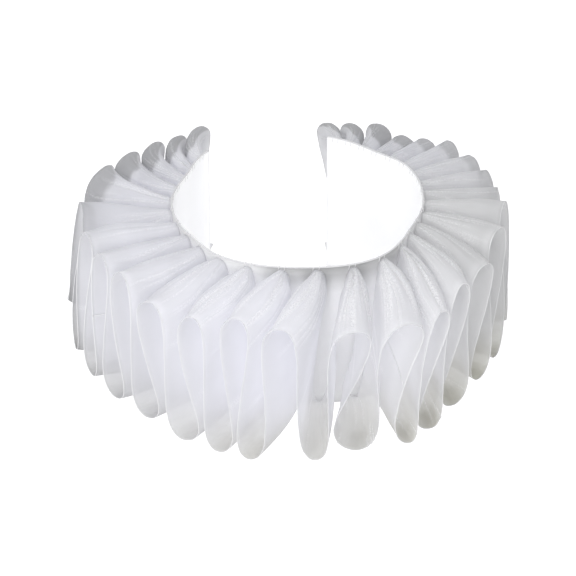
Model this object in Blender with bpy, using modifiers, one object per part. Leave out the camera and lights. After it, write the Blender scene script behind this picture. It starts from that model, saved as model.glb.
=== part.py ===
"""Pleated organza ruff collar: a tall neckband, open at the back, and a deep frill strip set in
figure-eight folds round it.  Metres, +Z up.  The origin is the centre of the neckband's top edge,
and the front of the collar is on the -Y side.  Angles run from the front, positive towards +X."""

import math

import bpy
import bmesh

MM = 0.001

# Driving sizes, in millimetres
BAND_WALL = 1.2          # thickness of the neckband
BAND_TOP = 0.4           # height of the band's top edge
BAND_FOOT = -78.0        # height of the band's lower edge
BAND_START = -136.4      # angle of the band's end at the wearer's back, one side
BAND_END = 166.0         # and the other side
BAND_STEPS = 100         # facets along the band
CLOTH_WALL = 1.1         # thickness of the frill's wall
SEAM_GAP = 0.3           # space left between two sewn pieces
EDGE_SLANT = 0.45        # room for the slanted edge of the frill's wall beside the band
NECK_CREST = -0.6        # height of the crests where they are sewn to the band
NECK_FALL = -76.5        # height of the falls where they are sewn to the band
NECK_FILL = 0.66         # loop width over loop spacing where the folds are stitched to the band
OPEN_FILL = 0.80         # and where the loops have opened out
PINCH_REACH = 0.25       # share of the frill's width over which the loops open out
CREST_PUFF = 0.8         # how far a crest lifts between band and hem
DROP_POWER = 1.15        # crests leave the band more level than they reach the hem
BELLY = 1.6              # how far the hem swells outwards halfway down a wall
FALL_FOLLOW = 0.7        # how far a fall's stitch follows its place at the hem
TWIST = 0.35             # how far the loops at the sides turn to face the front
NECK_ROUNDNESS = -0.22   # share of a second wave that squares the tips of the loops at the band
CREST_ROUNDNESS = 0.03    # that rounds a crest's loop at the hem
FALL_ROUNDNESS = 0.06     # and that makes a fall's loop taller there
PEAK_GAIN = 0.35         # how much that second wave adds to a loop's width
WALL_SHARE = 0.27        # share of the way to the next turn that a straight wall has gone at a
                         # loop's widest place
END_INSET = 0.6          # degrees from the band's end to the strip's end
STEPS_PER_FOLD = 20      # facets along one fold, crest to crest
TIP_CROWDING = 0.55      # share by which the facets crowd towards the turns
ROWS_ACROSS = 4          # facets from band to hem
JOIN_FOLDS = (7.25, 14.75, 22.25)   # folds where two lengths of the frill strip are seamed
ARC_PER_FOLD = 165.0     # length of strip that one fold takes up

# Inner radius of the neckband, which is a worn ring and not a true circle
NECK_COLUMNS = ("angle", "radius")
NECK_SHAPE = (
    (-136.0, 63.8),
    (-112.0, 59.4),
    (-85.0, 61.8),
    (-58.0, 61.8),
    (-35.0, 64.2),
    (0.0, 62.8),
    (35.0, 66.2),
    (68.0, 60.8),
    (90.0, 61.6),
    (120.0, 62.8),
    (140.0, 59.6),
    (166.0, 61.6),
)

# One row for each fold, going round from the back.  A fold is a fall, where the strip turns at
# its lowest, and the crest after it, where it turns at its highest.  Angles are in degrees.
# Reach, height and width are those of the loop at the hem, in millimetres; lean is how far the
# two walls beside the crest sway to one side, halfway down.
FOLD_COLUMNS = (
    "fall_angle", "fall_reach", "fall_height", "fall_width",
    "crest_neck_angle", "crest_angle", "crest_reach", "crest_height", "crest_width", "lean",
)
FOLDS = (
    (-154.5, 96.0, -79.0, 8.0, -131.0, -149.3, 98.5, -8.0, 9.5, 0.0),
    (-146.5, 99.0, -79.0, 9.6, -122.0, -142.8, 100.5, -9.5, 9.5, 0.0),
    (-139.5, 102.0, -79.0, 10.0, -112.0, -136.6, 104.0, -10.5, 12.0, 0.0),
    (-132.0, 106.0, -79.0, 11.0, -102.0, -127.7, 107.5, -10.5, 15.0, 0.0),
    (-122.0, 109.5, -77.0, 15.0, -92.0, -117.6, 111.0, -11.0, 17.5, 0.0),
    (-103.3, 118.0, -76.0, 18.0, -81.0, -98.2, 109.0, -12.0, 20.0, 0.0),
    (-87.0, 109.0, -83.5, 18.0, -70.0, -77.0, 106.5, -4.5, 16.0, 0.0),
    (-73.0, 103.8, -83.5, 15.0, -59.0, -66.1, 105.5, -5.0, 14.0, 0.0),
    (-59.9, 100.5, -83.5, 16.0, -48.0, -54.6, 105.5, -4.0, 13.5, 0.0),
    (-46.3, 100.0, -82.8, 17.0, -35.5, -42.8, 104.5, -11.2, 16.5, 0.0),
    (-32.1, 104.5, -83.0, 18.0, -22.0, -29.2, 104.5, -10.3, 13.5, 0.0),
    (-21.1, 106.0, -83.0, 15.0, -7.0, -16.8, 104.5, -5.3, 14.5, 0.0),
    (-12.2, 107.5, -83.3, 14.0, 8.0, -5.0, 104.5, -9.0, 18.0, 0.0),
    (4.1, 107.0, -82.6, 14.0, 23.5, 14.5, 104.5, -12.4, 21.0, -3.5),
    (16.2, 102.0, -82.8, 19.5, 38.0, 29.4, 104.5, -16.0, 21.0, -3.0),
    (30.3, 105.5, -83.7, 11.5, 50.5, 41.6, 104.5, -15.4, 11.6, -4.0),
    (40.6, 100.5, -84.5, 14.0, 60.5, 50.1, 104.0, -6.8, 12.4, -3.0),
    (53.4, 96.5, -83.0, 18.0, 70.5, 62.6, 102.2, -8.5, 18.5, -3.0),
    (68.0, 97.8, -81.0, 18.0, 80.0, 76.5, 102.0, -2.8, 20.0, -1.5),
    (80.6, 100.7, -81.0, 18.0, 89.0, 90.2, 103.0, -2.5, 20.0, 0.0),
    (97.5, 106.5, -78.5, 17.0, 98.0, 105.3, 104.8, -10.8, 15.0, 0.0),
    (109.5, 104.5, -79.0, 14.0, 106.5, 114.0, 104.4, -9.0, 13.5, 0.0),
    (118.5, 104.0, -79.0, 13.0, 115.0, 123.1, 105.2, -9.2, 13.5, 0.0),
    (127.5, 103.0, -79.0, 13.0, 123.5, 132.2, 104.8, -8.2, 9.5, 0.0),
    (135.2, 100.0, -79.0, 10.0, 131.5, 138.1, 99.7, -9.8, 9.0, 0.0),
    (142.5, 98.5, -79.0, 10.0, 139.5, 147.0, 99.5, -12.6, 10.0, 0.0),
    (150.6, 96.5, -79.0, 10.0, 147.3, 154.4, 97.2, -8.2, 10.0, 0.0),
    (158.6, 93.5, -79.0, 10.0, 154.8, 163.3, 92.2, -7.8, 9.0, 0.0),
    (166.3, 90.5, -79.0, 8.0, 161.5, 169.5, 90.0, -7.8, 8.0, 0.0),
)
LAST_FALL = {"angle": 172.0, "reach": 88.0, "height": -79.0, "width": 6.5}

CLOTH_COLOUR = (0.80, 0.80, 0.83, 1.0)
BAND_COLOUR = (0.66, 0.66, 0.69, 1.0)
CLOTH_ROUGHNESS = 0.5
BAND_ROUGHNESS = 0.6


def clear_scene():
    for thing in list(bpy.data.objects):
        bpy.data.objects.remove(thing, do_unlink=True)


def make_collection(name):
    collection = bpy.data.collections.new(name)
    bpy.context.scene.collection.children.link(collection)
    return collection


def make_cloth(name, colour, roughness):
    material = bpy.data.materials.new(name)
    material.use_nodes = True
    shader = material.node_tree.nodes["Principled BSDF"]
    shader.inputs["Base Color"].default_value = colour
    shader.inputs["Roughness"].default_value = roughness
    shader.inputs["Metallic"].default_value = 0.0
    material.diffuse_color = colour
    return material


def mix(low, high, share):
    return low + (high - low) * share


def ease(share):
    """Smooth step from 0 to 1."""
    share = min(max(share, 0.0), 1.0)
    return share * share * (3.0 - 2.0 * share)


def neck_radius(angle):
    """Inner radius of the neckband at an angle, eased between the rows of NECK_SHAPE."""
    rows = [dict(zip(NECK_COLUMNS, row)) for row in NECK_SHAPE]
    if angle <= rows[0]["angle"]:
        return rows[0]["radius"]
    for low, high in zip(rows, rows[1:]):
        if angle <= high["angle"]:
            share = (angle - low["angle"]) / (high["angle"] - low["angle"])
            return mix(low["radius"], high["radius"], ease(share))
    return rows[-1]["radius"]


def read_turns():
    """The turns of the strip in order: fall, crest, fall, ... and a last fall."""
    falls, crests = [], []
    for row in FOLDS:
        fold = dict(zip(FOLD_COLUMNS, row))
        falls.append({
            "angle": fold["fall_angle"], "reach": fold["fall_reach"],
            "height": fold["fall_height"], "width": fold["fall_width"],
        })
        crests.append({
            "angle": fold["crest_angle"], "reach": fold["crest_reach"],
            "height": fold["crest_height"], "width": fold["crest_width"],
            "neck_angle": fold["crest_neck_angle"], "lean": fold["lean"],
        })
    falls.append(dict(LAST_FALL))
    for fall, before, after in zip(falls[1:], crests, crests[1:]):
        middle_at_neck = 0.5 * (before["neck_angle"] + after["neck_angle"])
        middle_at_hem = 0.5 * (before["angle"] + after["angle"])
        fall["neck_angle"] = middle_at_neck + FALL_FOLLOW * (fall["angle"] - middle_at_hem)
    falls[0]["neck_angle"] = BAND_START + END_INSET
    falls[-1]["neck_angle"] = BAND_END - END_INSET
    turns = []
    for fall, crest in zip(falls, crests):
        turns += [fall, crest]
    turns.append(falls[-1])
    for number, turn in enumerate(turns):
        turn["is_crest"] = number % 2 == 1
    return turns


TURNS = read_turns()


def strip_start(angle):
    """Radius at which the strip's inner edge stands clear of the band."""
    return neck_radius(angle) + BAND_WALL + SEAM_GAP + EDGE_SLANT


def turn_at(number, across):
    """Angle and height of one turn at a share of the way from band to hem."""
    turn = TURNS[number]
    angle = mix(turn["neck_angle"], turn["angle"], across)
    if turn["is_crest"]:
        height = mix(NECK_CREST, turn["height"], across ** DROP_POWER)
        height += CREST_PUFF * math.sin(math.pi * across)
    else:
        height = mix(NECK_FALL, turn["height"], across)
    return angle, height


def loop_half_width(number, side, across):
    """Half the width of a turn's loop, on the side of the turn before it or after it."""
    turn = TURNS[number]
    other = number + 2 * side
    if not 0 <= other < len(TURNS):
        other = number - 2 * side
    spacing = math.radians(abs(TURNS[other]["neck_angle"] - turn["neck_angle"]))
    room = 0.5 * spacing * strip_start(turn["neck_angle"])
    at_neck = room * mix(NECK_FILL, OPEN_FILL, ease(across / PINCH_REACH))
    return mix(at_neck, 0.5 * turn["width"], across)


def strip_point(fold, across):
    """A point of the strip.  fold counts whole folds from the first fall; across runs 0 to 1."""
    last = len(TURNS) - 2
    number = min(max(int(fold * 2.0), 0), last)
    share = fold * 2.0 - number
    phase = math.pi * share - 0.5 * TIP_CROWDING * math.sin(2.0 * math.pi * share)
    angle_a, height_a = turn_at(number, across)
    angle_b, height_b = turn_at(number + 1, across)
    swing = 0.5 - 0.5 * math.cos(phase)
    height = mix(height_a, height_b, swing)
    hem_reach = mix(TURNS[number]["reach"], TURNS[number + 1]["reach"], swing)
    hem_reach += BELLY * math.sin(phase) ** 2
    reach = mix(strip_start(mix(angle_a, angle_b, swing)), hem_reach, across)
    run = math.radians(angle_b - angle_a) * reach
    near_b = ease(phase / math.pi)
    crest_share = near_b if TURNS[number + 1]["is_crest"] else 1.0 - near_b
    roundness = mix(FALL_ROUNDNESS, CREST_ROUNDNESS, crest_share)
    roundness = mix(NECK_ROUNDNESS, roundness, ease(across / PINCH_REACH))
    peak = 1.0 + PEAK_GAIN * abs(roundness)
    bulge_a = loop_half_width(number, 1, across) / peak - WALL_SHARE * run
    bulge_b = loop_half_width(number + 1, -1, across) / peak - WALL_SHARE * run
    wave = math.sin(2.0 * phase) - roundness * math.sin(4.0 * phase)
    crest = TURNS[number if TURNS[number]["is_crest"] else number + 1]
    sway = mix(bulge_a, bulge_b, near_b) * wave + crest["lean"] * across * math.sin(phase) ** 2
    angle = math.radians(angle_a) + (run * phase / math.pi + sway) / reach
    hem_reach += TWIST * sway * math.sin(angle)
    reach = mix(strip_start(math.degrees(angle)), hem_reach, across)
    return (
        reach * math.sin(angle) * MM,
        -reach * math.cos(angle) * MM,
        height * MM,
    )


def surface_from_grid(name, grid, material, collection):
    """An open sheet through a grid of points, a row of points for each station."""
    mesh = bpy.data.meshes.new(name)
    sheet = bmesh.new()
    corners = [[sheet.verts.new(point) for point in station] for station in grid]
    for here, there in zip(corners, corners[1:]):
        for low in range(len(here) - 1):
            sheet.faces.new((here[low], there[low], there[low + 1], here[low + 1]))
    sheet.to_mesh(mesh)
    sheet.free()
    mesh.shade_smooth()
    mesh.materials.append(material)
    made = bpy.data.objects.new(name, mesh)
    collection.objects.link(made)
    return made


def thicken(made, wall, offset):
    """Give an open sheet its wall."""
    solidify = made.modifiers.new("wall", "SOLIDIFY")
    solidify.thickness = wall * MM
    solidify.offset = offset
    solidify.use_even_offset = True
    solidify.use_rim = True


def make_neckband(material, collection):
    grid = []
    for step in range(BAND_STEPS + 1):
        angle = mix(BAND_START, BAND_END, step / BAND_STEPS)
        radius = neck_radius(angle) * MM
        x = radius * math.sin(math.radians(angle))
        y = -radius * math.cos(math.radians(angle))
        grid.append([(x, y, BAND_FOOT * MM), (x, y, BAND_TOP * MM)])
    band = surface_from_grid("neckband", grid, material, collection)
    thicken(band, BAND_WALL, 1.0)
    return band


def make_frill_length(name, first_fold, last_fold, material, collection):
    """One cut length of the frill strip, between two of its joins or ends."""
    steps = max(2, round((last_fold - first_fold) * STEPS_PER_FOLD))
    grid = []
    for step in range(steps + 1):
        fold = mix(first_fold, last_fold, step / steps)
        grid.append([strip_point(fold, row / ROWS_ACROSS) for row in range(ROWS_ACROSS + 1)])
    length = surface_from_grid(name, grid, material, collection)
    thicken(length, CLOTH_WALL, 0.0)
    return length


def make_frill(material, collection):
    half_gap = 0.5 * SEAM_GAP / ARC_PER_FOLD
    joins = (0.0,) + JOIN_FOLDS + (float(len(FOLDS)),)
    for number, (start, end) in enumerate(zip(joins, joins[1:]), 1):
        first_fold = start + (half_gap if number > 1 else 0.0)
        last_fold = end - (half_gap if number < len(joins) - 1 else 0.0)
        make_frill_length(f"frill_length_{number}", first_fold, last_fold, material, collection)


def main():
    clear_scene()
    collar = make_collection("ruff_collar")
    make_neckband(make_cloth("band_organza", BAND_COLOUR, BAND_ROUGHNESS), collar)
    make_frill(make_cloth("frill_organza", CLOTH_COLOUR, CLOTH_ROUGHNESS), collar)


main()
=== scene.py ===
import math
import random

import bmesh
import bpy
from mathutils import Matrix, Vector, noise


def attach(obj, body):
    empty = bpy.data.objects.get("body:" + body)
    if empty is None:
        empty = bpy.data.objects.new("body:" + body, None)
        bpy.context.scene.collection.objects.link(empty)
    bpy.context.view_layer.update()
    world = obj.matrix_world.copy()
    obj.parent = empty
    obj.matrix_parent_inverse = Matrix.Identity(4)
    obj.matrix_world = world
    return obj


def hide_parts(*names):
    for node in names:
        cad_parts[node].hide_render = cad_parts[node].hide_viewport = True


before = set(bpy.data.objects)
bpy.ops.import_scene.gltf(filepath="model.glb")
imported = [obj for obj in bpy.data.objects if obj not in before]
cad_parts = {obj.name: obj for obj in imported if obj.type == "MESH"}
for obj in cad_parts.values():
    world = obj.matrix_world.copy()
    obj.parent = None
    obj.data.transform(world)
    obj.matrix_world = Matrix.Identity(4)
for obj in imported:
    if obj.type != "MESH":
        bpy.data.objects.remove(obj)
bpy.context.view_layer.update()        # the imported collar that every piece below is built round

print("ruff collar: packed model loaded")

mm = 0.001


# blends, meshes and nodes
def mix(low, high, share):
    return low + (high - low) * share


def ease(share):
    share = min(max(share, 0.0), 1.0)
    return share * share * (3.0 - 2.0 * share)


def readTable(columns, rows):
    return [dict(zip(columns, row)) for row in rows]


# a value of a table between its rows, by angle
def readBetween(rows, angle, key):
    if angle <= rows[0]["angle"]:
        return rows[0][key]
    for low, high in zip(rows, rows[1:]):
        if angle <= high["angle"]:
            share = (angle - low["angle"]) / (high["angle"] - low["angle"])
            return mix(low[key], high[key], ease(share))
    return rows[-1][key]


def linkPiece(name, mesh, material, collection):
    piece = bpy.data.objects.new(name, mesh)
    mesh.materials.append(material)
    collection.objects.link(piece)
    return piece


def addNode(tree, kind, at, **values):
    made = tree.nodes.new(kind)
    made.location = at
    for key, value in values.items():
        setattr(made, key, value)
    return made


def setInputs(node, **values):
    for key, value in values.items():
        node.inputs[key].default_value = value
    return node


# a socket's value carried from one range to another
def addRange(tree, at, socket, to, between=(0.0, 1.0)):
    made = setInputs(addNode(tree, "ShaderNodeMapRange", at),
                     **{"From Min": between[0], "From Max": between[1],
                        "To Min": to[0], "To Max": to[1]})
    tree.links.new(socket, made.inputs["Value"])
    return made


# the collar's own sizes, in mm and degrees from the front
collar = {
    "bandWall": 0.7,          # two layers of organza
    "bandMiddle": 0.6,        # from the neck's radius to the middle of the band's wall
    "bandTop": 0.4,
    "bandFoot": -78.0,
    "bandStart": -136.4,
    "bandEnd": 166.0,
    "stripGap": 1.15,         # from the neck's radius to the frill's inner edge
    "neckCrest": -0.6,
    "neckFall": -76.5,
    "clothDepth": 44.0,       # the frill from band to hem
    "arcPerFold": 165.0,      # cloth taken up by one fold
    "joins": (0.0, 7.25, 14.75, 22.25, 29.0),
}

# radius of the neck inside the band
neckColumns = ("angle", "radius")
neckShape = (
    (-136.0, 63.8), (-112.0, 59.4), (-85.0, 61.8), (-58.0, 61.8), (-35.0, 64.2), (0.0, 62.8),
    (35.0, 66.2), (68.0, 60.8), (90.0, 61.6), (120.0, 62.8), (140.0, 59.6), (166.0, 61.6),
)
neckRows = readTable(neckColumns, neckShape)

# one row for each fold: the fall it starts at, then its crest
foldColumns = (
    "fallAngle", "fallReach", "fallHeight", "fallWidth",
    "crestNeck", "crestAngle", "crestReach", "crestHeight", "crestWidth", "lean",
)
folds = (
    (-153.0, 96.0, -79.0, 8.0, -131.0, -149.6, 98.5, -8.3, 24.0, 0.0),
    (-146.5, 99.0, -79.0, 9.6, -122.0, -142.6, 100.5, -10.8, 24.0, 0.0),
    (-139.5, 102.0, -79.0, 10.0, -112.0, -136.0, 104.0, -11.6, 24.0, 0.0),
    (-132.0, 106.0, -79.0, 11.0, -102.0, -127.5, 107.5, -12.4, 24.0, 0.0),
    (-122.5, 109.5, -77.0, 13.0, -92.0, -117.6, 110.8, -12.6, 34.0, 0.0),
    (-103.0, 119.2, -74.0, 18.0, -81.0, -98.2, 108.2, -14.0, 25.0, 0.0),
    (-87.1, 111.4, -83.5, 18.0, -70.0, -77.0, 106.5, -4.5, 16.0, 0.0),
    (-73.4, 106.4, -83.5, 14.0, -59.0, -66.1, 105.5, -5.0, 14.0, 0.0),
    (-60.7, 103.0, -83.5, 17.0, -48.0, -54.6, 105.5, -4.0, 13.5, 0.0),
    (-46.9, 101.1, -82.8, 17.0, -35.5, -42.8, 104.5, -11.2, 16.5, 0.0),
    (-32.1, 104.5, -83.0, 18.0, -22.0, -29.2, 104.5, -10.3, 13.5, 0.0),
    (-21.1, 106.0, -83.0, 15.0, -7.0, -16.8, 104.5, -5.3, 14.5, 0.0),
    (-12.2, 107.5, -83.3, 14.0, 8.0, -5.0, 104.5, -9.0, 18.0, 0.0),
    (4.7, 107.0, -82.6, 16.0, 23.5, 14.5, 104.5, -12.4, 21.0, -3.5),
    (17.0, 102.0, -82.8, 22.2, 37.5, 29.6, 104.5, -15.0, 22.5, -3.0),
    (31.5, 105.5, -83.7, 13.2, 50.5, 41.6, 104.5, -15.4, 11.6, -4.0),
    (41.0, 100.5, -84.5, 15.3, 60.5, 50.1, 104.0, -6.8, 12.4, -3.0),
    (53.4, 96.5, -83.0, 19.3, 70.5, 62.6, 102.2, -8.5, 18.5, -3.0),
    (68.0, 97.8, -81.0, 18.0, 80.0, 76.5, 100.6, -2.8, 20.0, -1.5),
    (80.6, 100.7, -81.0, 18.0, 89.0, 90.2, 101.6, -2.8, 21.0, 0.0),
    (97.5, 106.5, -78.5, 17.0, 98.0, 105.3, 104.0, -10.8, 16.5, 0.0),
    (109.5, 104.5, -79.0, 14.0, 106.5, 114.0, 104.4, -9.0, 13.5, 0.0),
    (118.5, 104.0, -79.0, 13.0, 115.0, 123.1, 105.2, -9.2, 13.5, 0.0),
    (127.5, 103.0, -79.0, 13.0, 123.5, 132.2, 104.8, -8.2, 12.0, 0.0),
    (135.2, 100.0, -79.0, 10.0, 131.5, 138.6, 99.7, -9.8, 20.0, 0.0),
    (142.5, 98.5, -79.0, 10.0, 139.5, 147.0, 99.5, -12.9, 20.0, 0.0),
    (150.6, 96.5, -79.0, 10.0, 147.3, 154.6, 97.2, -8.4, 20.0, 0.0),
    (158.6, 93.5, -79.0, 10.0, 154.8, 162.8, 92.2, -8.2, 20.0, 0.0),
    (166.3, 90.5, -79.0, 8.0, 161.5, 169.8, 90.0, -8.2, 14.0, 0.0),
)
fallNecks = ((13, 9.5), (14, 26.0), (15, 34.5))      # falls whose root at the band is drawn aside
lastFall = {"angle": 170.5, "reach": 88.0, "height": -79.0, "width": 6.5}

# how the folds stand between band and hem
pleatForm = {
    "neckFill": 0.55,         # loop width over loop spacing at the band, in front
    "frontMiddle": 12.0,      # degrees; the front reaches frontHalf to each side of it
    "frontHalf": 34.0,
    "frontSoft": 20.0,
    "sideFill": 0.9,          # and at the sides and back
    "crownFill": 1.05,        # crests nearly touch further out
    "fallFill": 0.90,
    "pinchReach": 0.26,
    "crownEnd": 0.55,         # from here the crests draw in to their hem width
    "slim": {(12, 1): 0.70, (13, -1): 0.70, (13, 1): 0.68, (14, -1): 0.86},
    "hemFill": 1.15,          # crests touch at the hem where they are wide enough
    "crestPuff": 0.8,
    "dropPower": 1.15,
    "belly": 1.6,
    "fallFollow": 0.7,
    "twist": 0.35,
    "twistBehind": -0.2,
    "behindFrom": 100.0,      # degrees to either side, where the back's loops begin
    "behindSoft": 20.0,
    "neckTall": -0.25,        # share of the second wave: below zero is squarer
    "neckReach": 0.25,        # share of the depth over which the band's squareness is lost
    "crownTall": -0.22,
    "crestTall": -0.10,
    "backTall": -0.16,
    "fallTall": -0.12,        # round bottoms with upright sides
    "wideFall": 0.026,        # rounder still where a fall is wide, per mm over
    "wideFrom": 15.5,
    "peakGain": 0.35,
    "wallShare": 0.27,
    "endInset": 0.6,
    "stepsPerFold": 200,
    "rowsAcross": 24,
    "clothWall": 0.2,         # sheer cloth, thin enough to see through
}


def neckRadius(angle):
    return readBetween(neckRows, angle, "radius")


def readTurns():
    falls, crests = [], []
    for fold in readTable(foldColumns, folds):
        falls.append({"angle": fold["fallAngle"], "reach": fold["fallReach"],
                      "height": fold["fallHeight"], "width": fold["fallWidth"]})
        crests.append({"angle": fold["crestAngle"], "reach": fold["crestReach"],
                       "height": fold["crestHeight"], "width": fold["crestWidth"],
                       "neck": fold["crestNeck"], "lean": fold["lean"]})
    falls.append(dict(lastFall))
    for fall, before, after in zip(falls[1:], crests, crests[1:]):
        atNeck = 0.5 * (before["neck"] + after["neck"])
        atHem = 0.5 * (before["angle"] + after["angle"])
        fall["neck"] = atNeck + pleatForm["fallFollow"] * (fall["angle"] - atHem)
    for number, angle in fallNecks:
        falls[number]["neck"] = angle
    falls[0]["neck"] = collar["bandStart"] + pleatForm["endInset"]
    falls[-1]["neck"] = collar["bandEnd"] - pleatForm["endInset"]
    turns = []
    for fall, crest in zip(falls, crests):
        turns += [fall, crest]
    turns.append(falls[-1])
    for number, turn in enumerate(turns):
        turn["isCrest"] = number % 2 == 1
    return turns


turns = readTurns()


def stripStart(angle):
    return neckRadius(angle) + collar["stripGap"]


def turnAt(number, across):
    turn = turns[number]
    angle = mix(turn["neck"], turn["angle"], across)
    if turn["isCrest"]:
        height = mix(collar["neckCrest"], turn["height"], across ** pleatForm["dropPower"])
        height += pleatForm["crestPuff"] * math.sin(math.pi * across)
    else:
        height = mix(collar["neckFall"], turn["height"], across)
    return angle, height


def loopHalfWidth(number, side, across):
    other = number + 2 * side
    if not 0 <= other < len(turns):
        other = number - 2 * side
    turn = turns[number]
    opened = ease(across / pleatForm["pinchReach"])
    if not turn["isCrest"]:
        spacing = math.radians(abs(turns[other]["neck"] - turn["neck"]))
        room = 0.5 * spacing * stripStart(turn["neck"])
        atNeck = room * mix(pleatForm["neckFill"], pleatForm["fallFill"], opened)
        return mix(atNeck, 0.5 * turn["width"], across)
    spacing = math.radians(abs(turnAt(other, across)[0] - turnAt(number, across)[0]))
    room = 0.5 * spacing * mix(stripStart(turn["neck"]), turn["reach"], across)
    fill = pleatForm["crownFill"] * pleatForm["slim"].get((number // 2, side), 1.0)
    aside = abs(turn["neck"] - pleatForm["frontMiddle"]) - pleatForm["frontHalf"]
    aside = ease(aside / pleatForm["frontSoft"])
    crown = room * mix(mix(pleatForm["neckFill"], pleatForm["sideFill"], aside), fill, opened)
    drawn = ease((across - pleatForm["crownEnd"]) / (1.0 - pleatForm["crownEnd"]))
    return mix(crown, min(0.5 * turn["width"], room * pleatForm["hemFill"]), drawn)


# a point of the strip in mm: fold counts whole folds, across runs from band to hem
def stripPoint(fold, across):
    number = min(max(int(fold * 2.0), 0), len(turns) - 2)
    phase = math.pi * (fold * 2.0 - number)
    angleA, heightA = turnAt(number, across)
    angleB, heightB = turnAt(number + 1, across)
    swing = 0.5 - 0.5 * math.cos(phase)
    height = mix(heightA, heightB, swing)
    hemReach = mix(turns[number]["reach"], turns[number + 1]["reach"], swing)
    hemReach += pleatForm["belly"] * math.sin(phase) ** 2
    reach = mix(stripStart(mix(angleA, angleB, swing)), hemReach, across)
    run = math.radians(angleB - angleA) * reach
    nearB = ease(phase / math.pi)
    crestShare = nearB if turns[number + 1]["isCrest"] else 1.0 - nearB
    behind = abs(mix(angleA, angleB, swing)) - pleatForm["behindFrom"]
    behind = ease(behind / pleatForm["behindSoft"])
    crestTall = mix(pleatForm["crownTall"], mix(pleatForm["crestTall"], pleatForm["backTall"],
                                                behind), ease(2.0 * across - 1.0))
    fall = turns[number + 1 if turns[number]["isCrest"] else number]
    fallTall = pleatForm["fallTall"]
    fallTall += pleatForm["wideFall"] * max(fall["width"] - pleatForm["wideFrom"], 0.0)
    tall = mix(fallTall, crestTall, crestShare)
    tall = mix(pleatForm["neckTall"], tall, ease(across / pleatForm["neckReach"]))
    peak = 1.0 + pleatForm["peakGain"] * abs(tall)
    bulgeA = loopHalfWidth(number, 1, across) / peak - pleatForm["wallShare"] * run
    bulgeB = loopHalfWidth(number + 1, -1, across) / peak - pleatForm["wallShare"] * run
    wave = math.sin(2.0 * phase) - tall * math.sin(4.0 * phase)
    crest = turns[number if turns[number]["isCrest"] else number + 1]
    sway = mix(bulgeA, bulgeB, nearB) * wave + crest["lean"] * across * math.sin(phase) ** 2
    angle = math.radians(angleA) + (run * phase / math.pi + sway) / reach
    hemReach += mix(pleatForm["twist"], pleatForm["twistBehind"], behind) * sway * math.sin(angle)
    reach = mix(stripStart(math.degrees(angle)), hemReach, across)
    return Vector((reach * math.sin(angle), -reach * math.cos(angle), height))


view = {
    "tilt": 32.5,             # degrees above the horizon
    "distance": 2.47,
    "lens": 312.5,
    "sensor": 36.0,
    "clip": (0.1, 50.0),
    "aim": (-0.0047, -0.0234, -0.0367),
}


def makeCamera():
    data = bpy.data.cameras.new("collarCamera")
    data.lens = view["lens"]
    data.sensor_width = view["sensor"]
    data.clip_start, data.clip_end = view["clip"]
    camera = bpy.data.objects.new("collarCamera", data)
    bpy.context.scene.collection.objects.link(camera)
    tilt = math.radians(view["tilt"])
    forward = Vector((0.0, math.cos(tilt), -math.sin(tilt)))
    camera.location = Vector(view["aim"]) - forward * view["distance"]
    camera.rotation_mode = "QUATERNION"
    camera.rotation_quaternion = forward.to_track_quat("-Z", "Y")
    bpy.context.scene.camera = camera


makeCamera()
print("ruff collar: camera set")

pieces = bpy.data.collections.new("ruffCollar")
bpy.context.scene.collection.children.link(pieces)


organza = {
    "sheer": 0.3,             # share of light that goes straight through
    "sheerCrease": 0.05,      # the same where the cloth is creased and lies double
    "through": 0.58,          # share of the rest that is scattered through
    "smooth": 0.32,           # roughness of the glossiest threads
    "matt": 0.6,
    "threadPitch": 0.0004,    # the weave, in metres
    "threadRelief": 0.00003,
    "threadShare": 0.3,
    "streakAlong": 620.0,     # fine pulled threads from band to hem, per metre
    "streakAcross": 42.0,
    "streakRelief": 0.00016,
    "cloud": 55.0,            # faint clouding left by the starch
    "cloudTone": (0.975, 1.01),
    "crumple": 1700.0,        # small crumples that break the creases up
    "crumpleFrom": (0.42, 0.62),
    "crumpleTo": (0.2, 1.9),
    # painted highlight: the whiter colour of raised creases and glints
    "creaseGlintColour": (0.985, 0.985, 0.99, 1.0),
    "shine": 0.5,
    "sheen": 0.15,
    "sheenRough": 0.4,
    "glow": 0.2,              # painted glow: light given off in the neck and between walls, by the inside attribute
}
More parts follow.
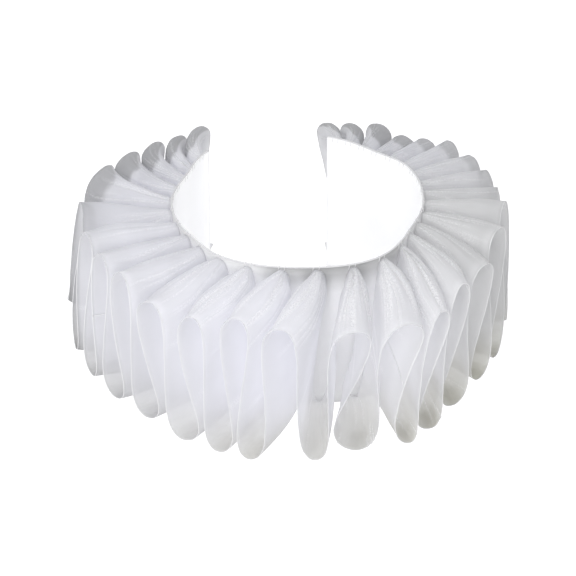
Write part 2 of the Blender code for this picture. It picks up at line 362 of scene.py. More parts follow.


# stiff sheer cloth; its mesh says where it is painted grey as shade (tint), where it lies double
# and is whitened as painted highlight (denseAndGlint), where nothing shows through (solid) and
# where it has a painted glow, light given off (inside)
def makeOrganza(name, values):
    material = bpy.data.materials.new(name)
    material.use_nodes = True
    tree = material.node_tree
    tree.nodes.clear()
    out = addNode(tree, "ShaderNodeOutputMaterial", (1300, 0))
    link = tree.links.new

    # threads run along the strip and across it
    lay = addNode(tree, "ShaderNodeUVMap", (-1400, -200), uv_map="strip")
    split = addNode(tree, "ShaderNodeSeparateXYZ", (-1200, -200))
    link(lay.outputs["UV"], split.inputs["Vector"])
    threads = []
    for axis, height in (("X", -120), ("Y", -360)):
        turned = addNode(tree, "ShaderNodeMath", (-1000, height), operation="MULTIPLY")
        turned.inputs[1].default_value = 2.0 * math.pi / values["threadPitch"]
        link(split.outputs[axis], turned.inputs[0])
        wave = addNode(tree, "ShaderNodeMath", (-800, height), operation="SINE")
        link(turned.outputs[0], wave.inputs[0])
        threads.append(wave)
    weave = addNode(tree, "ShaderNodeMath", (-600, -240), operation="MULTIPLY")
    link(threads[0].outputs[0], weave.inputs[0])
    link(threads[1].outputs[0], weave.inputs[1])

    # pulled threads, each a long fine streak from band to hem
    pull = addNode(tree, "ShaderNodeMapping", (-1000, -600))
    pull.inputs["Scale"].default_value = (values["streakAlong"], values["streakAcross"], 1.0)
    link(lay.outputs["UV"], pull.inputs["Vector"])
    streak = setInputs(addNode(tree, "ShaderNodeTexNoise", (-800, -600)),
                       Scale=1.0, Detail=3.0, Roughness=0.6)
    link(pull.outputs["Vector"], streak.inputs["Vector"])

    # the tint with its painted shade, clouded
    place = addNode(tree, "ShaderNodeTexCoord", (-1400, 200))
    cloud = setInputs(addNode(tree, "ShaderNodeTexNoise", (-1200, 200)),
                      Scale=values["cloud"], Detail=4.0, Roughness=0.6)
    link(place.outputs["Object"], cloud.inputs["Vector"])
    tint = addNode(tree, "ShaderNodeAttribute", (-800, 600), attribute_name="tint")
    cloudy = addRange(tree, (-800, 240), cloud.outputs["Fac"], values["cloudTone"], (0.3, 0.7))
    shade = addNode(tree, "ShaderNodeMix", (-400, 440), data_type="RGBA", blend_type="MULTIPLY")
    shade.inputs["Factor"].default_value = 1.0
    link(tint.outputs["Color"], shade.inputs["A"])
    link(cloudy.outputs["Result"], shade.inputs["B"])

    # creases lie double: less sheer, and whiter as a painted highlight for their glints, broken
    # into small crumples
    pressed = addNode(tree, "ShaderNodeAttribute", (-1200, 900), attribute_name="denseAndGlint")
    crumple = setInputs(addNode(tree, "ShaderNodeTexNoise", (-1200, 700)),
                        Scale=values["crumple"], Detail=3.0, Roughness=0.7)
    link(place.outputs["Object"], crumple.inputs["Vector"])
    broken = addRange(tree, (-1000, 700), crumple.outputs["Fac"],
                      values["crumpleTo"], values["crumpleFrom"])
    denseAndGlint = addNode(tree, "ShaderNodeMath", (-800, 900), operation="MULTIPLY", use_clamp=True)
    link(pressed.outputs["Fac"], denseAndGlint.inputs[0])
    link(broken.outputs["Result"], denseAndGlint.inputs[1])
    whiter = addNode(tree, "ShaderNodeMix", (-100, 500), data_type="RGBA")
    whiter.inputs["B"].default_value = values["creaseGlintColour"]
    link(denseAndGlint.outputs["Value"], whiter.inputs["Factor"])
    link(shade.outputs["Result"], whiter.inputs["A"])
    cover = addRange(tree, (-100, 820), denseAndGlint.outputs["Value"],
                     (1.0 - values["sheer"], 1.0 - values["sheerCrease"]))
    solid = addNode(tree, "ShaderNodeAttribute", (-100, 1080), attribute_name="solid")
    covering = addNode(tree, "ShaderNodeMath", (200, 900), operation="MAXIMUM")
    link(cover.outputs["Result"], covering.inputs[0])
    link(solid.outputs["Fac"], covering.inputs[1])

    # glossy and matt threads, and the relief of the weave
    gloss = addRange(tree, (-400, 100), streak.outputs["Fac"],
                     (values["smooth"], values["matt"]), (0.35, 0.65))
    woven = setInputs(addNode(tree, "ShaderNodeBump", (-200, -240)),
                      Strength=values["threadShare"], Distance=values["threadRelief"])
    link(weave.outputs[0], woven.inputs["Height"])
    pulled = setInputs(addNode(tree, "ShaderNodeBump", (0, -300)),
                       Strength=1.0, Distance=values["streakRelief"])
    link(streak.outputs["Fac"], pulled.inputs["Height"])
    link(woven.outputs["Normal"], pulled.inputs["Normal"])

    # light that the cloth throws back, lets through scattered, and lets straight through
    face = addNode(tree, "ShaderNodeBsdfPrincipled", (300, 200))
    face.inputs["Specular IOR Level"].default_value = values["shine"]
    face.inputs["Sheen Weight"].default_value = values["sheen"]
    face.inputs["Sheen Roughness"].default_value = values["sheenRough"]
    link(whiter.outputs["Result"], face.inputs["Base Color"])
    link(gloss.outputs["Result"], face.inputs["Roughness"])
    link(pulled.outputs["Normal"], face.inputs["Normal"])
    # painted glow: the cloth gives off light where the inside attribute says
    inside = addNode(tree, "ShaderNodeAttribute", (0, 340), attribute_name="inside")
    link(inside.outputs["Color"], face.inputs["Emission Color"])
    face.inputs["Emission Strength"].default_value = values["glow"]
    passing = addNode(tree, "ShaderNodeBsdfTranslucent", (300, -260))
    link(whiter.outputs["Result"], passing.inputs["Color"])
    link(pulled.outputs["Normal"], passing.inputs["Normal"])
    body = addNode(tree, "ShaderNodeMixShader", (700, 60))
    body.inputs["Fac"].default_value = values["through"]
    link(face.outputs[0], body.inputs[1])
    link(passing.outputs[0], body.inputs[2])
    clear = addNode(tree, "ShaderNodeBsdfTransparent", (700, 260))
    seen = addNode(tree, "ShaderNodeMixShader", (1000, 80))
    link(covering.outputs[0], seen.inputs["Fac"])
    link(clear.outputs[0], seen.inputs[1])
    link(body.outputs[0], seen.inputs[2])
    link(seen.outputs[0], out.inputs["Surface"])
    return material


thread = {
    "colour": (0.98, 0.98, 0.985, 1.0),
    "hollow": 0.93,           # share of the colour in the hollows of the grain
    "roughness": 0.3,
    "sheen": 0.2,
    "grain": 900.0,
    "relief": 0.00004,
    "reliefShare": 0.4,
    "sheer": 0.3,
    "fades": False,           # sheerer still by "faded"
}


def makeThread(name, values):
    material = bpy.data.materials.new(name)
    material.use_nodes = True
    tree = material.node_tree
    face = tree.nodes["Principled BSDF"]
    face.inputs["Roughness"].default_value = values["roughness"]
    face.inputs["Sheen Weight"].default_value = values["sheen"]
    place = addNode(tree, "ShaderNodeTexCoord", (-900, 0))
    grain = setInputs(addNode(tree, "ShaderNodeTexNoise", (-700, 0)),
                      Scale=values["grain"], Detail=2.0)
    tree.links.new(place.outputs["Object"], grain.inputs["Vector"])
    ramp = addNode(tree, "ShaderNodeMix", (-400, 120), data_type="RGBA")
    hollow = tuple(values["hollow"] * part for part in values["colour"][:3])
    ramp.inputs["A"].default_value = hollow + (1.0,)
    ramp.inputs["B"].default_value = values["colour"]
    tree.links.new(grain.outputs["Fac"], ramp.inputs["Factor"])
    tree.links.new(ramp.outputs["Result"], face.inputs["Base Color"])
    bump = setInputs(addNode(tree, "ShaderNodeBump", (-300, -200)),
                     Strength=values["reliefShare"], Distance=values["relief"])
    tree.links.new(grain.outputs["Fac"], bump.inputs["Height"])
    tree.links.new(bump.outputs["Normal"], face.inputs["Normal"])
    clear = addNode(tree, "ShaderNodeBsdfTransparent", (0, -200))
    seen = addNode(tree, "ShaderNodeMixShader", (160, 0))
    seen.inputs["Fac"].default_value = 1.0 - values["sheer"]
    if values["fades"]:
        faded = addNode(tree, "ShaderNodeAttribute", (-300, 340), attribute_name="faded")
        showing = addRange(tree, (-80, 300), faded.outputs["Fac"], (1.0 - values["sheer"], 0.0))
        tree.links.new(showing.outputs["Result"], seen.inputs["Fac"])
    tree.links.new(clear.outputs[0], seen.inputs[1])
    tree.links.new(face.outputs[0], seen.inputs[2])
    tree.links.new(seen.outputs[0], tree.nodes["Material Output"].inputs["Surface"])
    return material


frillCloth = makeOrganza("frillOrganza", organza)
bandCloth = makeOrganza("bandOrganza", dict(organza, sheer=0.06, through=0.25))
hemThread = makeThread("hemThread", dict(thread, fades=True))
edgeThread = makeThread("edgeThread", dict(thread, colour=(0.8, 0.8, 0.81, 1.0)))
seamThread = makeThread("seamThread", dict(thread, colour=(0.985, 0.985, 0.99, 1.0), sheer=0.2))
print("ruff collar: materials made")


# painted shade, as how white the cloth is round the collar: on its crests, at their hem edge from
# the depth "lone", down its sides and in its falls; how blue and how yellow; how much painted glow
# it gives off
paintedShadeColumns = ("angle", "crest", "edge", "lone", "side", "fall", "cool", "warm", "paintedGlow")
paintedShadeRows = readTable(paintedShadeColumns, (
    (-155.0, 0.98, 0.60, 0.10, 0.92, 0.88, 0.022, 0.02, 0.45),
    (-140.0, 0.98, 0.60, 0.30, 0.92, 0.70, 0.022, 0.02, 0.45),
    (-125.0, 0.975, 0.60, 0.48, 0.92, 0.66, 0.022, 0.02, 0.45),
    (-108.0, 0.975, 0.61, 0.74, 0.88, 0.66, 0.022, 0.02, 0.5),
    (-95.0, 0.96, 0.76, 0.86, 0.88, 0.66, 0.022, 0.02, 0.6),
    (-75.0, 0.96, 0.86, 0.93, 0.92, 0.68, 0.022, 0.02, 0.5),
    (-50.0, 0.95, 0.95, 0.93, 0.93, 0.77, 0.022, 0.02, 0.32),
    (-32.0, 0.965, 0.97, 0.93, 0.96, 0.84, 0.021, 0.03, 0.32),
    (-10.0, 0.99, 0.98, 0.93, 0.98, 0.84, 0.020, 0.05, 0.38),
    (15.0, 0.93, 0.97, 0.93, 0.99, 0.76, 0.018, 0.06, 0.6),
    (30.0, 0.925, 0.96, 0.93, 0.99, 0.78, 0.015, 0.07, 0.8),
    (40.0, 0.93, 0.95, 0.93, 0.99, 0.74, 0.013, 0.08, 0.85),
    (70.0, 0.87, 0.89, 0.90, 0.96, 0.74, 0.004, 0.08, 0.95),
    (95.0, 0.90, 0.85, 0.86, 0.94, 0.74, 0.004, 0.06, 0.65),
    (115.0, 0.955, 0.72, 0.84, 0.92, 0.73, 0.012, 0.02, 0.5),
    (135.0, 0.97, 0.70, 0.70, 0.92, 0.73, 0.020, 0.02, 0.45),
    (152.0, 0.96, 0.60, 0.35, 0.92, 0.73, 0.022, 0.02, 0.45),
    (162.0, 0.95, 0.60, 0.35, 0.92, 0.74, 0.018, 0.02, 0.45),
    (172.0, 0.94, 0.57, 0.30, 0.92, 0.88, 0.016, 0.02, 0.45),
))

# where that painted shade and glow lie: away from a crest or fall in turns, of which a fold has
# two, and from band to hem in shares of the cloth's depth
clothShade = {
    "sideFrom": 0.6,          # the painted shade of "side" comes in towards the hem
    "sideSoft": 0.35,
    "bareFrom": -0.15,        # painted shade on the side of a crest that has nothing bright behind it
    "bareSoft": 0.18,
    "bareEnd": 0.5,
    "bareEndSoft": 0.25,
    "edgeSoft": 0.09,
    "partFrom": 0.15,         # crests part into walls
    "partSoft": 0.3,
    "root": 0.05,             # painted shade deep between the crests, near the band
    "rootReach": 0.4,
    "rootGlow": 0.4,          # and a painted glow there, light given off
    "fallWide": 0.42,         # a fall's painted grey shade, which fades out towards the band
    "fallFrom": 0.1,
    "fallSoft": 0.75,
    "clearFall": 13,          # the fall that the band shows through
    "open": (13, 14),         # falls seen down to their roots, painted grey shade all the way
    "openRoot": 0.3,
    "openFoot": 0.88,
    "ends": (0, len(turns) - 1),        # the strip's turned ends, free of painted shade and with a painted glow like the band's
    "endWide": 0.45,          # folds
    "endWideSoft": 0.15,
    "endFrom": -10.0,         # their painted glow begins below this height, mm
    "endSoft": 10.0,
    "flank": 0.18,            # painted shade where the far left side stands clear of the rest
    "flankFrom": 107.0,       # mm
    "flankSoft": 4.0,
    "coolLoss": 2.0,          # what "warm" takes off "cool"
    "warmLoss": 0.15,         # share of "warm" that the green loses
    "paintedGlowTo": 0.95,         # painted glow between the walls, to just short of the hem
    "paintedGlowSoft": 0.3,
}


# a place's tone with its painted shade, how solid it is and its painted glow; ends of loops that
# stand alone near the hem are painted grey for the dark behind them
def paintedShadeAndGlow(fold, across, point):
    number = min(int(fold * 2.0 + 0.5), len(turns) - 1)
    away = fold * 2.0 - number
    around = math.degrees(math.atan2(point.x, -point.y))
    grey = readBetween(paintedShadeRows, around, "crest")
    aside = ease((across - clothShade["sideFrom"]) / clothShade["sideSoft"])
    grey *= mix(1.0, readBetween(paintedShadeRows, around, "side"), aside)
    solid, root = 0.0, 0.0
    if turns[number]["isCrest"]:
        forward = away if around < 0.0 else -away
        bared = ease((forward - clothShade["bareFrom"]) / clothShade["bareSoft"])
        begin = mix(1.0, readBetween(paintedShadeRows, around, "lone"), bared)
        alone = ease((across - begin) / clothShade["edgeSoft"] + 0.5)
        alone *= ease((clothShade["bareEnd"] - forward) / clothShade["bareEndSoft"])
        grey = mix(grey, readBetween(paintedShadeRows, around, "edge"), alone)
        warm = 0.0
        parted = ease((abs(away) - clothShade["partFrom"]) / clothShade["partSoft"])
        root = parted * ease(1.0 - across / clothShade["rootReach"])
        grey *= 1.0 - clothShade["root"] * root
    else:
        alone = ease(1.0 - abs(away) / clothShade["fallWide"])
        if number // 2 in clothShade["open"]:
            down = min(across / clothShade["fallSoft"], 1.0)
            alone *= (ease(across / clothShade["fallFrom"])
                      * mix(clothShade["openRoot"], clothShade["openFoot"], down))
        else:
            alone *= ease((across - clothShade["fallFrom"]) / clothShade["fallSoft"])
        if number in clothShade["ends"]:
            alone = 0.0
        grey = mix(grey, readBetween(paintedShadeRows, around, "fall"), alone)
        warm = alone * readBetween(paintedShadeRows, around, "warm")
        if number != 2 * clothShade["clearFall"]:
            solid = alone
        parted = 1.0 - alone
    flank = ease((-point.x - clothShade["flankFrom"]) / clothShade["flankSoft"])
    grey *= 1.0 - clothShade["flank"] * flank
    cool = readBetween(paintedShadeRows, around, "cool") * (1.0 - clothShade["coolLoss"] * warm)
    tone = (grey * (1.0 - cool), grey * (1.0 - cool - clothShade["warmLoss"] * warm),
            grey * (1.0 - warm), 1.0)
    # painted glow: light given off between the walls, at the roots and at the turned ends
    inside = readBetween(paintedShadeRows, around, "paintedGlow") * parted
    inside *= ease((clothShade["paintedGlowTo"] - across) / clothShade["paintedGlowSoft"])
    inside += clothShade["rootGlow"] * root
    fromEnd = min(fold, collar["joins"][-1] - fold)
    end = ease((clothShade["endWide"] - fromEnd) / clothShade["endWideSoft"])
    end *= ease((clothShade["endFrom"] - point.z) / clothShade["endSoft"])
    return tone, solid, max(inside * (1.0 - flank), end)


# creases run from band to hem; start and end count folds from the crest or fall that bears them
creaseForm = {
    "seed": 29,
    "lanes": (                # place in the fold, creases there, how far they spread to a side
        (0.5, 8, 0.11),
        (0.0, 4, 0.1),
        (0.25, 3, 0.08),
        (0.75, 3, 0.08),
    ),
    "laneDrift": 0.015,
    "endDrift": 0.02,
    "crestStart": 0.3,        # share of the spread at the band, on a crest
    "otherStart": 0.9,        # and elsewhere
    "reach": (0.4, 1.15),     # of the cloth's depth
    "width": (0.004, 0.009),  # of a fold
    "depth": (0.12, 0.34),    # mm
    "crinkled": range(10, 17),          # front crests, the most finely crinkled
    "crinkles": 10,
    "sideCrinkles": 5,
    "crinkleSpread": 0.13,
    "crinkleStart": 0.35,
    "crinkleReach": (0.7, 1.2),
    "crinkleWidth": (0.0025, 0.005),
    "crinkleDepth": (0.18, 0.42),
    "press": 1.6,             # how much denser a raised crease lies
    "bend": 0.85,             # a crease isn't straight
    "sway": 0.006,
    "swayAcross": 5.0,
    "swayTurn": 9.0,
    "narrow": 0.75,           # its width at the band, and what it gains by the hem
    "widen": 0.6,
    "fadeIn": 0.07,
    "fadeOut": 0.4,
    "near": 0.2,              # folds to each side that are searched for creases
    "tail": 3.0,              # widths from its middle where a crease has died away
    "ripple": 0.3,            # mm
    "rippleAt": (23.0, 3.0, 7.0),       # waves a fold, waves over the depth, seed
    "rippleFrom": 0.1,
}
# the ones that show most; the last few are glints that begin part of the way to the hem, raised
# creases whitened as painted highlight
creaseColumns = ("turn", "start", "end", "reach", "width", "depth", "from")
markedCreases = (
    (10.5, 0.005, -0.030, 1.0, 0.008, 0.40),
    (11.5, 0.010, -0.045, 1.0, 0.009, 0.45),
    (11.5, -0.020, -0.090, 0.8, 0.008, -0.35),
    (12.5, 0.012, -0.032, 1.1, 0.010, 0.60),
    (12.5, 0.040, 0.020, 0.9, 0.009, -0.45),
    (12.5, -0.015, -0.095, 0.8, 0.009, 0.35),
    (13.5, -0.010, -0.085, 0.9, 0.008, 0.40),
    (13.5, 0.000, -0.045, 1.0, 0.007, -0.40),
    (13.5, 0.006, -0.010, 1.1, 0.008, 0.50),
    (13.5, 0.014, 0.030, 1.0, 0.007, -0.40),
    (13.5, 0.022, 0.075, 0.9, 0.009, 0.40),
    (14.5, -0.012, -0.060, 1.0, 0.009, 0.45),
    (14.5, 0.002, 0.000, 0.9, 0.009, -0.50),
    (14.5, 0.016, 0.045, 1.0, 0.009, 0.50),
    (14.5, 0.030, 0.100, 0.8, 0.010, -0.40),
    (15.5, 0.000, 0.010, 1.1, 0.010, 0.55),
    (15.5, 0.020, 0.070, 0.8, 0.009, -0.40),
    (16.5, 0.000, 0.020, 1.0, 0.010, 0.50),
    (14.0, 0.045, 0.075, 1.4, 0.0035, 0.50, 0.62),
    (14.0, 0.062, 0.092, 1.4, 0.0030, 0.45, 0.70),
    (14.0, 0.030, 0.052, 1.4, 0.0030, 0.40, 0.76),
    (14.0, -0.060, -0.090, 1.4, 0.0030, 0.35, 0.80),
    (15.0, 0.045, 0.075, 1.4, 0.0030, 0.40, 0.70),
    (16.0, 0.048, 0.085, 1.4, 0.0035, 0.50, 0.70),
    (17.0, 0.050, 0.080, 1.4, 0.0025, 0.22, 0.74),
)


def scatterCreases():
    draw = random.Random(creaseForm["seed"])
    found = readTable(creaseColumns, markedCreases)
    for fold in range(len(folds)):
        for turn, count, spread in creaseForm["lanes"]:
            start = creaseForm["crestStart" if turn == 0.5 else "otherStart"]
            for each in range(count):
                lane = mix(-spread, spread, (each + 0.5) / count)
                lane += draw.uniform(-creaseForm["laneDrift"], creaseForm["laneDrift"])
                found.append({
                    "turn": fold + turn,
                    "start": lane * start,
                    "end": lane + draw.uniform(-creaseForm["endDrift"], creaseForm["endDrift"]),
                    "reach": draw.uniform(*creaseForm["reach"]),
                    "width": draw.uniform(*creaseForm["width"]),
                    "depth": draw.choice((-1.0, 1.0)) * draw.uniform(*creaseForm["depth"]),
                })
    for fold in range(len(folds)):
        kind = "crinkles" if fold in creaseForm["crinkled"] else "sideCrinkles"
        for each in range(creaseForm[kind]):
            lane = draw.uniform(-creaseForm["crinkleSpread"], creaseForm["crinkleSpread"])
            found.append({
                "turn": fold + 0.5,
                "start": creaseForm["crinkleStart"] * lane,
                "end": lane + draw.uniform(-creaseForm["endDrift"], creaseForm["endDrift"]),
                "reach": draw.uniform(*creaseForm["crinkleReach"]),
                "width": draw.uniform(*creaseForm["crinkleWidth"]),
                "depth": draw.uniform(*creaseForm["crinkleDepth"]),
            })
    return found


creases = scatterCreases()


def creasesNear(fold):
    return [crease for crease in creases if abs(crease["turn"] - fold) < creaseForm["near"]]


# how far the cloth is pushed out, and how densely it lies, which also whitens it as painted
# highlight
def creaseAt(near, fold, across):
    along, down, seed = creaseForm["rippleAt"]
    depth = creaseForm["ripple"] * noise.noise(Vector((fold * along, across * down, seed)))
    depth *= ease(across / creaseForm["rippleFrom"])
    denseAndGlint = 0.0
    for crease in near:
        middle = mix(crease["start"], crease["end"], across ** creaseForm["bend"])
        middle = crease["turn"] + middle
        sway = creaseForm["swayAcross"] * across + creaseForm["swayTurn"] * crease["turn"]
        middle += creaseForm["sway"] * math.sin(sway)
        width = crease["width"] * (creaseForm["narrow"] + creaseForm["widen"] * across)
        away = (fold - middle) / width
        if abs(away) > creaseForm["tail"]:
            continue
        fade = ease((crease["reach"] - across) / creaseForm["fadeOut"])
        fade *= ease((across - crease.get("from", 0.0)) / creaseForm["fadeIn"])
        press = fade * math.exp(-away * away)
        depth += crease["depth"] * press
        denseAndGlint += creaseForm["press"] * max(crease["depth"], 0.0) * press
    return depth, min(denseAndGlint, 1.0)


hemForm = {
    "fade": 0.78,             # the hem melts into the bright crowns of the front crests
    "fadeFrom": 3.6,          # first and last fold that it does so on
    "fadeTo": 15.9,
    "fadeWide": 0.14,         # half width of the faded stretch, in folds
    "fadeSoft": 0.12,
}


def hemFade(fold):
    away = abs(fold % 1.0 - 0.5)
    fade = hemForm["fade"] * ease((hemForm["fadeWide"] - away) / hemForm["fadeSoft"])
    fade *= ease(fold - hemForm["fadeFrom"])
    return fade * ease(hemForm["fadeTo"] - fold)


def makeFrillLength(number, startFold, endFold):
    steps = round((endFold - startFold) * pleatForm["stepsPerFold"])
    rows = pleatForm["rowsAcross"]
    grid = [[stripPoint(mix(startFold, endFold, step / steps), row / rows)
             for row in range(rows + 1)] for step in range(steps + 1)]
    sheet = bmesh.new()
    strip = sheet.loops.layers.uv.new("strip")
    tint = sheet.verts.layers.float_color.new("tint")
    denseAndGlintLayer = sheet.verts.layers.float.new("denseAndGlint")
    solidness = sheet.verts.layers.float.new("solid")
    inside = sheet.verts.layers.float.new("inside")
    corners, hem = [], []
    for step, station in enumerate(grid):
        before = grid[max(step - 1, 0)]
        after = grid[min(step + 1, steps)]
        fold = mix(startFold, endFold, step / steps)
        near = creasesNear(fold)
        line = []
        for row, point in enumerate(station):
            along = after[row] - before[row]
            out = station[min(row + 1, rows)] - station[max(row - 1, 0)]
            normal = along.cross(out).normalized()
            across = row / rows
            depth, denseAndGlint = creaseAt(near, fold, across)
            place = point + normal * depth
            vert = sheet.verts.new(place * mm)
            vert[tint], vert[solidness], vert[inside] = paintedShadeAndGlow(fold, across, place)
            vert[denseAndGlintLayer] = denseAndGlint
            line.append(vert)
        corners.append(line)
        hem.append((line[-1].co.copy(), normal, hemFade(fold)))
    for step in range(steps):
        for row in range(rows):
            face = sheet.faces.new((corners[step][row], corners[step + 1][row],
                                    corners[step + 1][row + 1], corners[step][row + 1]))
            face.smooth = True
            for loop, (s, r) in zip(face.loops, ((0, 0), (1, 0), (1, 1), (0, 1))):
                fold = mix(startFold, endFold, (step + s) / steps)
                loop[strip].uv = (fold * collar["arcPerFold"] * mm,
                                  (row + r) / rows * collar["clothDepth"] * mm)
    mesh = bpy.data.meshes.new(f"frillLength{number}")
    sheet.to_mesh(mesh)
    sheet.free()
    piece = linkPiece(f"frillLength{number}", mesh, frillCloth, pieces)
    wall = piece.modifiers.new("wall", "SOLIDIFY")
    wall.thickness = pleatForm["clothWall"] * mm
    wall.offset = 0.0
    return piece, hem


# a flattened roll of cloth or thread along a path of places and normals, all in metres
def addRoll(target, path, wide, thick, sides=6):
    faded = target.verts.layers.float["faded"]
    rings = []
    for index, (place, normal, *fade) in enumerate(path):
        ahead = path[min(index + 1, len(path) - 1)][0] - path[max(index - 1, 0)][0]
        side = ahead.cross(normal).normalized()
        up = side.cross(ahead).normalized()
        rings.append([target.verts.new(
            place + side * (0.5 * wide * math.cos(2.0 * math.pi * corner / sides))
            + up * (0.5 * thick * math.sin(2.0 * math.pi * corner / sides)))
            for corner in range(sides)])
        for vert in rings[-1]:
            vert[faded] = fade[0] if fade else 0.0
    for here, there in zip(rings, rings[1:]):
        for corner in range(sides):
            after = (corner + 1) % sides
            face = target.faces.new((here[corner], here[after], there[after], there[corner]))
            face.smooth = True
    target.faces.new(list(reversed(rings[0])))
    target.faces.new(rings[-1])


def makeRolls(name, paths, wide, thick, material, sides=6):
    target = bmesh.new()
    target.verts.layers.float.new("faded")
    for path in paths:
        addRoll(target, path, wide * mm, thick * mm, sides)
    bmesh.ops.recalc_face_normals(target, faces=target.faces)
    mesh = bpy.data.meshes.new(name)
    target.to_mesh(mesh)
    target.free()
    return linkPiece(name, mesh, material, pieces)


trim = {
    "hemWide": 0.5,           # rolled hem, mm
    "hemThick": 0.3,
    "seamWide": 0.6,          # where two lengths of cloth are joined
    "seamThick": 0.24,
    "seamRows": 40,
    "seamShare": 0.985,       # it stops just short of the hem
    "cutWide": 1.0,           # turned ends of the strip at the back
    "cutThick": 0.5,
    "foldStep": 0.004,        # steps that find which way the cloth faces
    "acrossStep": 0.02,
}


# the path of a seam or cut edge from band to hem
def acrossPath(fold):
    path = []
    for row in range(trim["seamRows"] + 1):
        across = row / trim["seamRows"]
        place = stripPoint(fold, across * trim["seamShare"])
        ahead = stripPoint(min(fold + trim["foldStep"], collar["joins"][-1]), across)
        along = ahead - stripPoint(max(fold - trim["foldStep"], 0.0), across)
        out = stripPoint(fold, min(across + trim["acrossStep"], 1.0))
        out -= stripPoint(fold, max(across - trim["acrossStep"], 0.0))
        path.append((place * mm, along.cross(out).normalized()))
    return path


for number, (start, end) in enumerate(zip(collar["joins"], collar["joins"][1:]), 1):
    frill, hemPath = makeFrillLength(number, start, end)
    hem = makeRolls(f"hem{number}", [hemPath], trim["hemWide"], trim["hemThick"], hemThread)
    extras = [hem]
    if number == 1:
        extras.append(makeRolls("cutEdge1", [acrossPath(start)], trim["cutWide"],
                                trim["cutThick"], hemThread))
    else:
        extras.append(makeRolls(f"seam{number - 1}", [acrossPath(start)], trim["seamWide"],
                                trim["seamThick"], seamThread, 8))
    if number == 4:
        extras.append(makeRolls("cutEdge2", [acrossPath(end)], trim["cutWide"],
                                trim["cutThick"], hemThread))
    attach(frill, "root")
    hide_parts(f"frill_length_{number}")
    for extra in extras:
        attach(extra, "root")
    print(f"ruff collar: frill length {number} of 4 pleated")


bandForm = {
    "steps": 240,
    "rows": 16,
    # painted light and shade: the inside face whiter, the outside face greyer
    "inside": (0.985, 0.986, 0.99, 1.0),
    "outside": (0.95, 0.95, 0.96, 1.0),
    "topShade": 0.52,         # shaded between the crests, most of all in front
    "topShadeSide": 0.18,
    "topShadeFrom": -22.0,    # degrees
    "topShadeTo": 58.0,
    "topShadeSoft": 14.0,
    "shadeDepth": 0.2,        # share of the height
    "farGlow": 0.45,          # more painted glow inside, at the left of the opening
    "farGlowFrom": -85.0,
    "farGlowSoft": 25.0,
    "edgeWide": 0.9,
    "edgeThick": 0.9,
    "stitchWide": 0.34,
    "stitchHang": 2.4,        # how far a stitch reaches down from the edge, mm
    "stitchClear": 0.22,      # its middle stands this far off the cloth
    "stitchTilt": 0.4,        # up
    "stitchSlant": 0.9,       # degrees
    "stitchShifts": (-1.6, 1.0),        # two stitches to a fold, degrees from its turn
    "length": 0.33,           # cut size in metres
    "height": 0.0784,
}


# painted shade: how much greyer the outside is where it shows between the front walls
slitRows = readTable(("angle", "shade"), (
    (0.0, 0.0), (6.0, 0.2), (12.0, 0.2), (16.0, 0.1), (21.0, 0.1), (26.0, 0.2), (33.0, 0.0),
))


def bandPoint(angle, height, out):
    radius = neckRadius(angle) + collar["bandMiddle"] + out
    turn = math.radians(angle)
    return Vector((radius * math.sin(turn), -radius * math.cos(turn), height))


def makeBand():
    steps, rows = bandForm["steps"], bandForm["rows"]
    half = 0.5 * collar["bandWall"]
    sheet = bmesh.new()
    strip = sheet.loops.layers.uv.new("strip")
    tint = sheet.verts.layers.float_color.new("tint")
    inside = sheet.verts.layers.float.new("inside")
    sides = []
    for out in (-half, half):
        lines = []
        for step in range(steps + 1):
            angle = mix(collar["bandStart"], collar["bandEnd"], step / steps)
            slit = 1.0 - readBetween(slitRows, angle, "shade")
            front = ease((angle - bandForm["topShadeFrom"]) / bandForm["topShadeSoft"])
            front *= ease((bandForm["topShadeTo"] - angle) / bandForm["topShadeSoft"])
            topShade = mix(bandForm["topShadeSide"], bandForm["topShade"], front)
            glow = ease((bandForm["farGlowFrom"] - angle) / bandForm["farGlowSoft"])
            glow = 1.0 + bandForm["farGlow"] * glow
            line = []
            for row in range(rows + 1):
                height = mix(collar["bandFoot"], collar["bandTop"], row / rows)
                vert = sheet.verts.new(bandPoint(angle, height, out) * mm)
                shaded = ease((row / rows - 1.0 + bandForm["shadeDepth"]) / bandForm["shadeDepth"])
                grey = slit * (1.0 - topShade * shaded)
                outside = [part * grey for part in bandForm["outside"][:3]] + [1.0]
                vert[tint] = outside if out > 0.0 else bandForm["inside"]
                # painted glow: the band's inside face and its cut ends give off light
                vert[inside] = glow if out < 0.0 or step in (0, steps) else 0.0
                line.append(vert)
            lines.append(line)
        sides.append(lines)
    inner, outer = sides
    spots = ((0, 0), (1, 0), (1, 1), (0, 1))
    for step in range(steps):
        for row in range(rows):
            for lines, order in ((outer, spots), (inner, spots[::-1])):
                face = sheet.faces.new([lines[step + s][row + r] for s, r in order])
                face.smooth = True
                for loop, (s, r) in zip(face.loops, order):
                    loop[strip].uv = ((step + s) / steps * bandForm["length"],
                                      (row + r) / rows * bandForm["height"])
        for row, order in ((rows, (0, 1)), (0, (1, 0))):
            first, second = step + order[0], step + order[1]
            sheet.faces.new((outer[first][row], outer[second][row],
                             inner[second][row], inner[first][row]))
    for row in range(rows):
        for step, order in ((0, (1, 0)), (steps, (0, 1))):
            low, high = row + order[0], row + order[1]
            sheet.faces.new((outer[step][low], outer[step][high],
                             inner[step][high], inner[step][low]))
    bmesh.ops.recalc_face_normals(sheet, faces=sheet.faces)
    mesh = bpy.data.meshes.new("neckBand")
    sheet.to_mesh(mesh)
    sheet.free()
    return linkPiece("neckBand", mesh, bandCloth, pieces)


def bandEdgePath(height, up):
    path = []
    for step in range(bandForm["steps"] + 1):
        angle = mix(collar["bandStart"], collar["bandEnd"], step / bandForm["steps"])
        path.append((bandPoint(angle, height, 0.0) * mm, Vector((0.0, 0.0, up))))
    return path


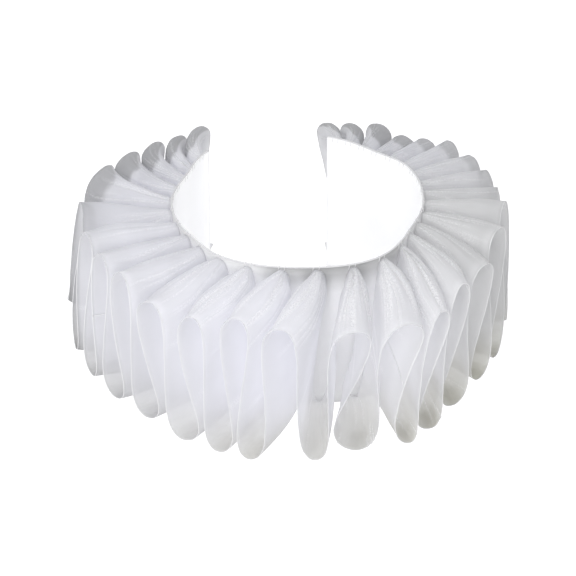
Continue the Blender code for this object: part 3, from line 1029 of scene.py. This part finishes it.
# a whipped stitch: over the band's edge from the gathers to the inside
def stitchPath(angle, edge, up, slant):
    half = 0.5 * collar["bandWall"] + bandForm["stitchClear"]
    hang = bandForm["stitchHang"]
    spots = ((half, -hang, 0.0), (half, -0.4 * hang, 0.2), (half * 0.9, 0.25, 0.4),
             (0.0, 0.6, 0.5), (-half * 0.9, 0.25, 0.6), (-half, -0.4 * hang, 0.8),
             (-half, -hang, 1.0))         # out and up in mm, and share of the slant
    turn = math.radians(angle)
    facing = Vector((math.sin(turn), -math.cos(turn), bandForm["stitchTilt"]))
    return [(bandPoint(angle + slant * share, edge + up * rise, out) * mm, facing)
            for out, rise, share in spots]


band = makeBand()
topEdge = makeRolls("bandTopEdge", [bandEdgePath(collar["bandTop"], 1.0)],
                    bandForm["edgeWide"], bandForm["edgeThick"], edgeThread, 8)
footEdge = makeRolls("bandFootEdge", [bandEdgePath(collar["bandFoot"], -1.0)],
                     bandForm["edgeWide"], bandForm["edgeThick"], edgeThread, 8)
topStitches, footStitches = [], []
for turn in turns[1:-1]:
    row, edge, up = footStitches, collar["bandFoot"], -1.0
    if turn["isCrest"]:
        row, edge, up = topStitches, collar["bandTop"], 1.0
    row.extend(stitchPath(turn["neck"] + shift, edge, up, bandForm["stitchSlant"])
               for shift in bandForm["stitchShifts"])
stitches = makeRolls("bandTopStitches", topStitches, bandForm["stitchWide"],
                     bandForm["stitchWide"], hemThread)
footing = makeRolls("bandFootStitches", footStitches, bandForm["stitchWide"],
                    bandForm["stitchWide"], hemThread)
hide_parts("neckband")
for piece in (band, topEdge, footEdge, stitches, footing):
    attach(piece, "root")
print("ruff collar: neckband made and whipped to the gathers")


studio = {
    "floorHeight": -0.6,
    "floorHalf": 6.0,
    "floor": (0.95, 0.95, 0.955, 1.0),
    "floorRough": 0.9,
    "floorGlow": 0.36,
    "sky": (0.985, 0.99, 1.0, 1.0),
    "skyStrength": 0.74,
    "lamps": (                # name, place, size, power
        ("frontLight", (-0.8, -1.9, 1.3), 1.6, 13.5),
        ("lowLight", (-0.5, -2.1, 0.0), 1.2, 17.0),
        ("topLight", (-0.5, -0.6, 2.1), 0.5, 7.0),
    ),
    "sheerLayers": 24,        # a look through many layers of sheer cloth
    "bounces": 16,
    "softBounces": 12,        # light finds its way between the folds
}


def makeStudio():
    mesh = bpy.data.meshes.new("studioFloor")
    half = studio["floorHalf"]
    height = studio["floorHeight"]
    mesh.from_pydata([(-half, -half, height), (half, -half, height), (half, half, height),
                      (-half, half, height)], [], [(0, 1, 2, 3)])
    material = bpy.data.materials.new("studioPaper")
    material.use_nodes = True
    setInputs(material.node_tree.nodes["Principled BSDF"],
              **{"Base Color": studio["floor"], "Roughness": studio["floorRough"],
                 "Emission Color": studio["floor"], "Emission Strength": studio["floorGlow"]})
    floor = bpy.data.objects.new("studioFloor", mesh)
    mesh.materials.append(material)
    bpy.context.scene.collection.objects.link(floor)
    floor.visible_diffuse = False         # a backdrop for the eye; the sky lights the cloth
    floor.visible_glossy = False
    floor.visible_transmission = False
    floor.visible_shadow = False
    world = bpy.data.worlds.new("studioSky")
    world.use_nodes = True
    setInputs(world.node_tree.nodes["Background"],
              Color=studio["sky"], Strength=studio["skyStrength"])
    bpy.context.scene.world = world
    for name, at, size, power in studio["lamps"]:
        data = bpy.data.lights.new(name, "AREA")
        data.size = size
        data.energy = power
        lamp = bpy.data.objects.new(name, data)
        lamp.location = at
        lamp.rotation_mode = "QUATERNION"
        lamp.rotation_quaternion = (-Vector(at)).to_track_quat("-Z", "Y")
        bpy.context.scene.collection.objects.link(lamp)


makeStudio()
scene = bpy.context.scene
scene.view_settings.view_transform = "Standard"
scene.cycles.transparent_max_bounces = studio["sheerLayers"]
scene.cycles.max_bounces = studio["bounces"]
scene.cycles.diffuse_bounces = studio["softBounces"]
print("ruff collar: floor and light set")
